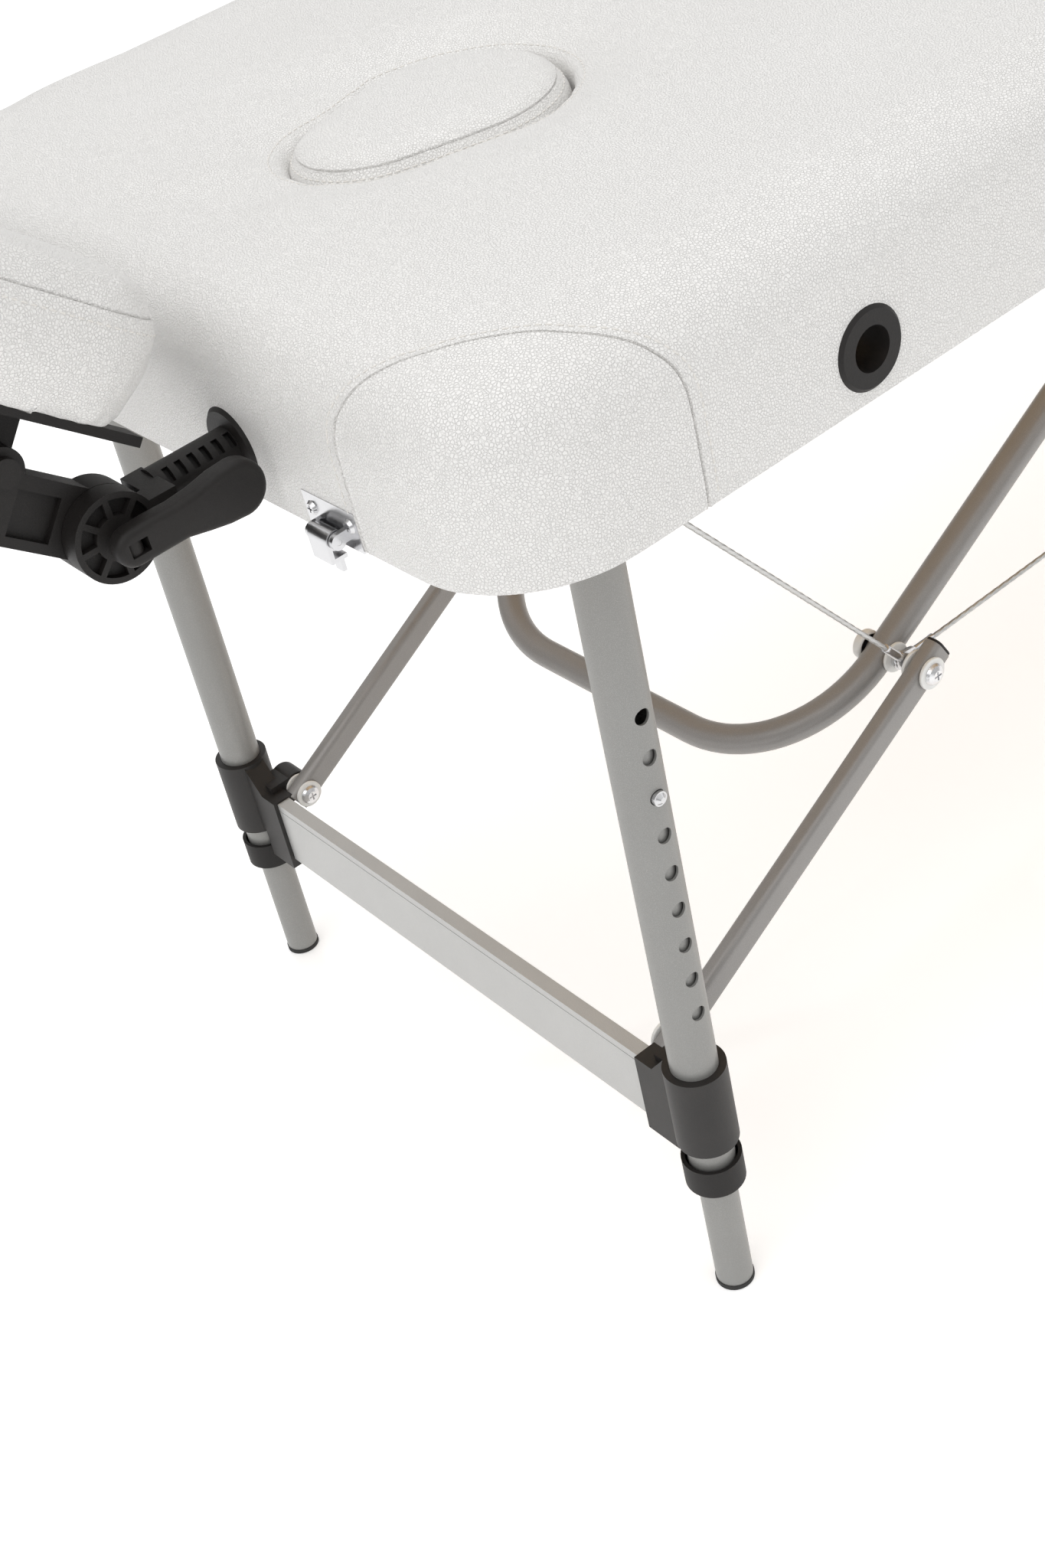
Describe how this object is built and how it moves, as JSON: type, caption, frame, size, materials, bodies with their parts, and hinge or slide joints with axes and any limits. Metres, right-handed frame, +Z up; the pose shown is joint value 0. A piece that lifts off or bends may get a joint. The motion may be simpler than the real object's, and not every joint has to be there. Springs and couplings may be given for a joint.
{
  "type": "portable massage table",
  "caption": "Folding massage table with a padded two-section bed, telescopic cable-braced legs, a breath-hole plug and a tilting face cradle.",
  "frame": {"origin": "on the floor, at the middle of the whole table's outline with its face cradle", "axes": "+X from the head end to the foot end, +Y to the far side that carries the handles, +Z up"},
  "size_m": [2.1208, 0.631, 0.8308],
  "materials": {
    "white_vinyl": "pebbled upholstery vinyl, satin",
    "foam": "open-cell foam",
    "birch_plywood": "birch plywood, clear lacquer",
    "black_plastic": "textured moulded plastic",
    "black_rubber": "matt rubber",
    "black_webbing": "woven webbing",
    "grey_powder_coat": "satin silver-grey powder coat",
    "brace_powder_coat": "satin warm-grey powder coat",
    "steel_cable": "twisted steel wire",
    "chrome": "bright plated",
    "plated_steel": "zinc plated"
  },
  "bodies": {
    "head_section": {"head_deck": "birch_plywood", "head_frame": "birch_plywood", "head_foam": "foam", "head_cover": "white_vinyl", "end_grommets": "black_plastic", "side_grommets": "black_plastic", "head_leg_brackets": "plated_steel", "head_loop_brackets": "plated_steel", "head_hinge_leaves": "plated_steel", "latch_plates": "chrome", "latch_screws": "chrome", "head_handle": "black_webbing", "head_outer_cables": "steel_cable", "centre_cables": "steel_cable"},
    "foot_section": {"foot_deck": "birch_plywood", "foot_frame": "birch_plywood", "foot_foam": "foam", "foot_cover": "white_vinyl", "foot_leg_brackets": "plated_steel", "foot_loop_brackets": "plated_steel", "foot_hinge_leaves": "plated_steel", "latch_strikers": "chrome", "foot_handle": "black_webbing", "foot_outer_cables": "steel_cable"},
    "breath_plug": {"plug_cushion": "white_vinyl", "plug_base": "birch_plywood"},
    "near_hook": {"near_latch_hook": "chrome"},
    "far_hook": {"far_latch_hook": "chrome"},
    "head_legs": {"head_outer_tubes": "grey_powder_coat", "head_crossbar": "grey_powder_coat", "head_crossbar_brackets": "black_plastic", "head_tube_collars": "black_plastic"},
    "head_strut_pair": {"head_struts": "brace_powder_coat", "head_knee_bolts": "chrome"},
    "head_loop": {"head_brace_loop": "brace_powder_coat"},
    "head_near_lower_leg": {"head_near_inner_leg": "grey_powder_coat", "head_near_foot_cap": "black_rubber"},
    "head_near_button": {"head_near_snap_button": "chrome"},
    "head_far_lower_leg": {"head_far_inner_leg": "grey_powder_coat", "head_far_foot_cap": "black_rubber"},
    "head_far_button": {"head_far_snap_button": "chrome"},
    "foot_legs": {"foot_outer_tubes": "grey_powder_coat", "foot_crossbar": "grey_powder_coat", "foot_crossbar_brackets": "black_plastic", "foot_tube_collars": "black_plastic"},
    "foot_strut_pair": {"foot_struts": "brace_powder_coat", "foot_knee_bolts": "chrome"},
    "foot_loop": {"foot_brace_loop": "brace_powder_coat"},
    "foot_near_lower_leg": {"foot_near_inner_leg": "grey_powder_coat", "foot_near_foot_cap": "black_rubber"},
    "foot_near_button": {"foot_near_snap_button": "chrome"},
    "foot_far_lower_leg": {"foot_far_inner_leg": "grey_powder_coat", "foot_far_foot_cap": "black_rubber"},
    "foot_far_button": {"foot_far_snap_button": "chrome"},
    "cradle_post_pair": {"cradle_posts": "black_plastic"},
    "cradle_arm_pair": {"cradle_arm": "black_plastic"},
    "cradle_head_rest": {"cradle_platform": "black_plastic", "cradle_cushion": "white_vinyl"},
    "near_lever": {"near_cam_lever": "black_plastic"},
    "far_lever": {"far_cam_lever": "black_plastic"}
  },
  "joints": [
    {"name": "centre_fold", "type": "hinge", "parent": "head_section", "child": "foot_section", "pos_m": [0.126, 0, 0.5507], "axis": [0, 1, 0], "range_deg": [0, 105], "deforming": ["centre_cables"]},
    {"name": "head_leg_fold", "type": "hinge", "parent": "head_section", "child": "head_legs", "pos_m": [-0.692, 0, 0.578], "axis": [0, -1, 0], "range_deg": [0, 91.8], "deforming": ["head_outer_cables"]},
    {"name": "head_strut_fold", "type": "hinge", "parent": "head_legs", "child": "head_strut_pair", "pos_m": [-0.706, 0, 0.1575], "axis": [0, -1, 0], "range_deg": [0, 68.4]},
    {"name": "head_loop_fold", "type": "hinge", "parent": "head_section", "child": "head_loop", "pos_m": [0.0102, 0, 0.54], "axis": [0, -1, 0], "range_deg": [-28.2, 0]},
    {"name": "head_near_leg_slide", "type": "slide", "parent": "head_legs", "child": "head_near_lower_leg", "axis": [-0.0319, 0, -0.9995], "range_m": [-0.05, 0.15], "deforming": ["head_near_snap_button"]},
    {"name": "head_near_button_press", "type": "slide", "parent": "head_near_lower_leg", "child": "head_near_button", "axis": [0, 1, 0], "range_m": [0, 0.0056], "stiffness_N_per_m": 900, "springref_m": -0.006},
    {"name": "head_far_leg_slide", "type": "slide", "parent": "head_legs", "child": "head_far_lower_leg", "axis": [-0.0319, 0, -0.9995], "range_m": [-0.05, 0.15], "deforming": ["head_far_snap_button"]},
    {"name": "head_far_button_press", "type": "slide", "parent": "head_far_lower_leg", "child": "head_far_button", "axis": [0, -1, 0], "range_m": [0, 0.0056], "stiffness_N_per_m": 900, "springref_m": -0.006},
    {"name": "foot_leg_fold", "type": "hinge", "parent": "foot_section", "child": "foot_legs", "pos_m": [0.944, 0, 0.578], "axis": [0, 1, 0], "range_deg": [0, 91.8], "deforming": ["foot_outer_cables"]},
    {"name": "foot_strut_fold", "type": "hinge", "parent": "foot_legs", "child": "foot_strut_pair", "pos_m": [0.958, 0, 0.1575], "axis": [0, 1, 0], "range_deg": [0, 68.4]},
    {"name": "foot_loop_fold", "type": "hinge", "parent": "foot_section", "child": "foot_loop", "pos_m": [0.2418, 0, 0.54], "axis": [0, 1, 0], "range_deg": [-28.2, 0]},
    {"name": "foot_near_leg_slide", "type": "slide", "parent": "foot_legs", "child": "foot_near_lower_leg", "axis": [0.0319, 0, -0.9995], "range_m": [-0.05, 0.15], "deforming": ["foot_near_snap_button"]},
    {"name": "foot_near_button_press", "type": "slide", "parent": "foot_near_lower_leg", "child": "foot_near_button", "axis": [0, 1, 0], "range_m": [0, 0.0056], "stiffness_N_per_m": 900, "springref_m": -0.006},
    {"name": "foot_far_leg_slide", "type": "slide", "parent": "foot_legs", "child": "foot_far_lower_leg", "axis": [0.0319, 0, -0.9995], "range_m": [-0.05, 0.15], "deforming": ["foot_far_snap_button"]},
    {"name": "foot_far_button_press", "type": "slide", "parent": "foot_far_lower_leg", "child": "foot_far_button", "axis": [0, -1, 0], "range_m": [0, 0.0056], "stiffness_N_per_m": 900, "springref_m": -0.006},
    {"name": "plug_lift", "type": "slide", "parent": "head_section", "child": "breath_plug", "axis": [0, 0, 1], "range_m": [0, 0.08]},
    {"name": "near_hook_swing", "type": "hinge", "parent": "head_section", "child": "near_hook", "pos_m": [-0.811, -0.174, 0.561], "axis": [0, 1, 0], "range_deg": [0, 90]},
    {"name": "far_hook_swing", "type": "hinge", "parent": "head_section", "child": "far_hook", "pos_m": [-0.811, 0.174, 0.561], "axis": [0, 1, 0], "range_deg": [0, 90]},
    {"name": "cradle_slide", "type": "slide", "parent": "head_section", "child": "cradle_post_pair", "axis": [-1, 0, 0], "range_m": [0, 0.07]},
    {"name": "cradle_tilt", "type": "hinge", "parent": "cradle_post_pair", "child": "cradle_arm_pair", "pos_m": [-0.884, 0, 0.582], "axis": [0, -1, 0], "range_deg": [0, 70]},
    {"name": "platform_tilt", "type": "hinge", "parent": "cradle_arm_pair", "child": "cradle_head_rest", "pos_m": [-0.91815, 0, 0.63154], "axis": [0, -1, 0], "range_deg": [0, 25]},
    {"name": "near_lever_swing", "type": "hinge", "parent": "cradle_post_pair", "child": "near_lever", "pos_m": [-0.884, -0.131, 0.582], "axis": [0, 0, -1], "range_deg": [0, 100]},
    {"name": "far_lever_swing", "type": "hinge", "parent": "cradle_post_pair", "child": "far_lever", "pos_m": [-0.884, 0.131, 0.582], "axis": [0, 0, 1], "range_deg": [0, 100]}
  ],
  "couplings": [
    {"joint": "head_strut_fold", "follows": "head_leg_fold", "ratio": 0.743},
    {"joint": "head_loop_fold", "follows": "head_leg_fold", "ratio": -0.306},
    {"joint": "foot_strut_fold", "follows": "foot_leg_fold", "ratio": 0.743},
    {"joint": "foot_loop_fold", "follows": "foot_leg_fold", "ratio": -0.306}
  ]
}
